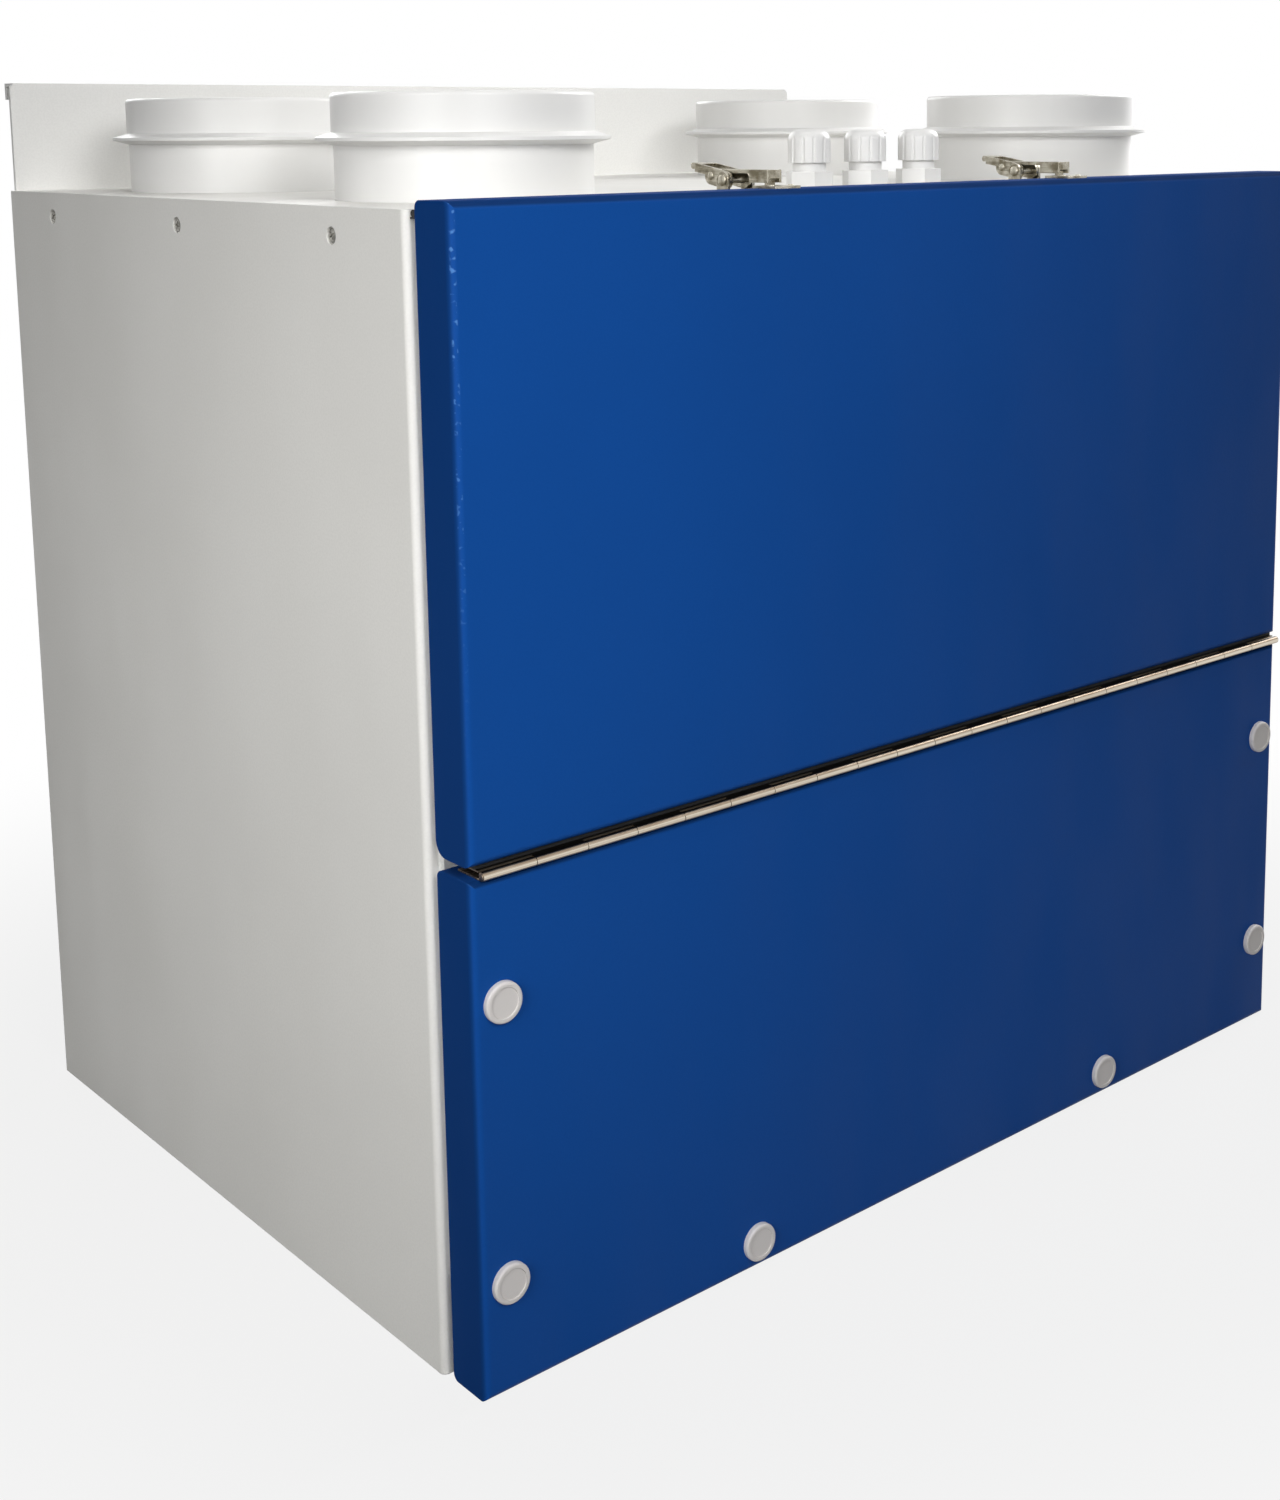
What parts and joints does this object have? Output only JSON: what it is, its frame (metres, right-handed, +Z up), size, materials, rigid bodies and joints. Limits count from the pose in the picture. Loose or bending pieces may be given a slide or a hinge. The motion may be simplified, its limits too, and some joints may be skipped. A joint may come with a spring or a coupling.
{
  "type": "air handling unit",
  "caption": "Compact wall-hung air handling unit: insulated white casing, blue bottom-hinged service door with toggle latches, fixed lower panel and round duct spigots on top.",
  "frame": {"origin": "centre of the bounding box at floor level", "axes": "+X to the right seen from the front, +Y from front to back, +Z up"},
  "size_m": [0.598, 0.4592, 0.588],
  "materials": {
    "white_paint": "satin powder coat",
    "blue_paint": "satin powder coat",
    "foam": "matt foam",
    "white_seal": "matt cellular rubber",
    "grey_plastic": "satin moulded",
    "white_plastic": "satin moulded",
    "hinge_steel": "brushed",
    "black_rubber": "matt",
    "zinc": "zinc plated",
    "core_aluminium": "mill finish",
    "rail_plastic": "matt",
    "filter_medium": "pleated fleece"
  },
  "bodies": {
    "casing": {"left_side_panel": "white_paint", "right_side_panel": "white_paint", "back_panel": "white_paint", "top_panel": "white_paint", "bottom_panel": "white_paint", "deck_panel": "white_paint", "wall_bracket": "white_paint", "lower_insulation": "foam", "left_insulation": "foam", "right_insulation": "foam", "back_insulation": "foam", "top_insulation_left": "foam", "top_insulation_middle": "foam", "top_insulation_right": "foam", "lower_panel_insulation": "foam", "lower_front_panel": "blue_paint", "panel_seal": "white_seal", "door_seal": "white_seal", "screw_cap_1": "grey_plastic", "screw_cap_2": "grey_plastic", "screw_cap_3": "grey_plastic", "screw_cap_4": "grey_plastic", "screw_cap_5": "grey_plastic", "screw_cap_6": "grey_plastic", "spigot_left_rear": "white_plastic", "spigot_left_front": "white_plastic", "spigot_right_rear": "white_plastic", "spigot_right_front": "white_plastic", "cable_gland_left": "white_plastic", "cable_gland_middle": "white_plastic", "cable_gland_right": "white_plastic", "hinge_leaf_fixed": "hinge_steel", "hinge_pin": "hinge_steel", "latch_base_left": "zinc", "latch_base_right": "zinc", "exchanger_core": "core_aluminium", "exchanger_rail_lower": "rail_plastic", "exchanger_rail_upper": "rail_plastic", "filter_left": "filter_medium", "filter_right": "filter_medium"},
    "door": {"service_door": "blue_paint", "door_insulation": "foam", "seam_seal": "black_rubber", "hinge_leaf_moving": "hinge_steel", "latch_keeper_left": "zinc", "latch_keeper_right": "zinc"},
    "lever_left": {"latch_lever_left": "zinc"},
    "lever_right": {"latch_lever_right": "zinc"},
    "hook_left": {"latch_hook_left": "zinc"},
    "hook_right": {"latch_hook_right": "zinc"}
  },
  "joints": [
    {"name": "door_hinge", "type": "hinge", "parent": "casing", "child": "door", "pos_m": [0, -0.2271, 0.2441], "axis": [1, 0, 0], "range_deg": [0, 140]},
    {"name": "lever_left_pivot", "type": "hinge", "parent": "casing", "child": "lever_left", "pos_m": [-0.1055, -0.1844, 0.5355], "axis": [1, 0, 0], "range_deg": [0, 100]},
    {"name": "hook_left_pivot", "type": "hinge", "parent": "lever_left", "child": "hook_left", "pos_m": [-0.1055, -0.1734, 0.5375], "axis": [1, 0, 0], "range_deg": [-110, 0]},
    {"name": "lever_right_pivot", "type": "hinge", "parent": "casing", "child": "lever_right", "pos_m": [0.1055, -0.1844, 0.5355], "axis": [1, 0, 0], "range_deg": [0, 100]},
    {"name": "hook_right_pivot", "type": "hinge", "parent": "lever_right", "child": "hook_right", "pos_m": [0.1055, -0.1734, 0.5375], "axis": [1, 0, 0], "range_deg": [-110, 0]}
  ],
  "couplings": [
    {"joint": "hook_left_pivot", "follows": "lever_left_pivot", "ratio": -1.1},
    {"joint": "hook_right_pivot", "follows": "lever_right_pivot", "ratio": -1.1}
  ]
}
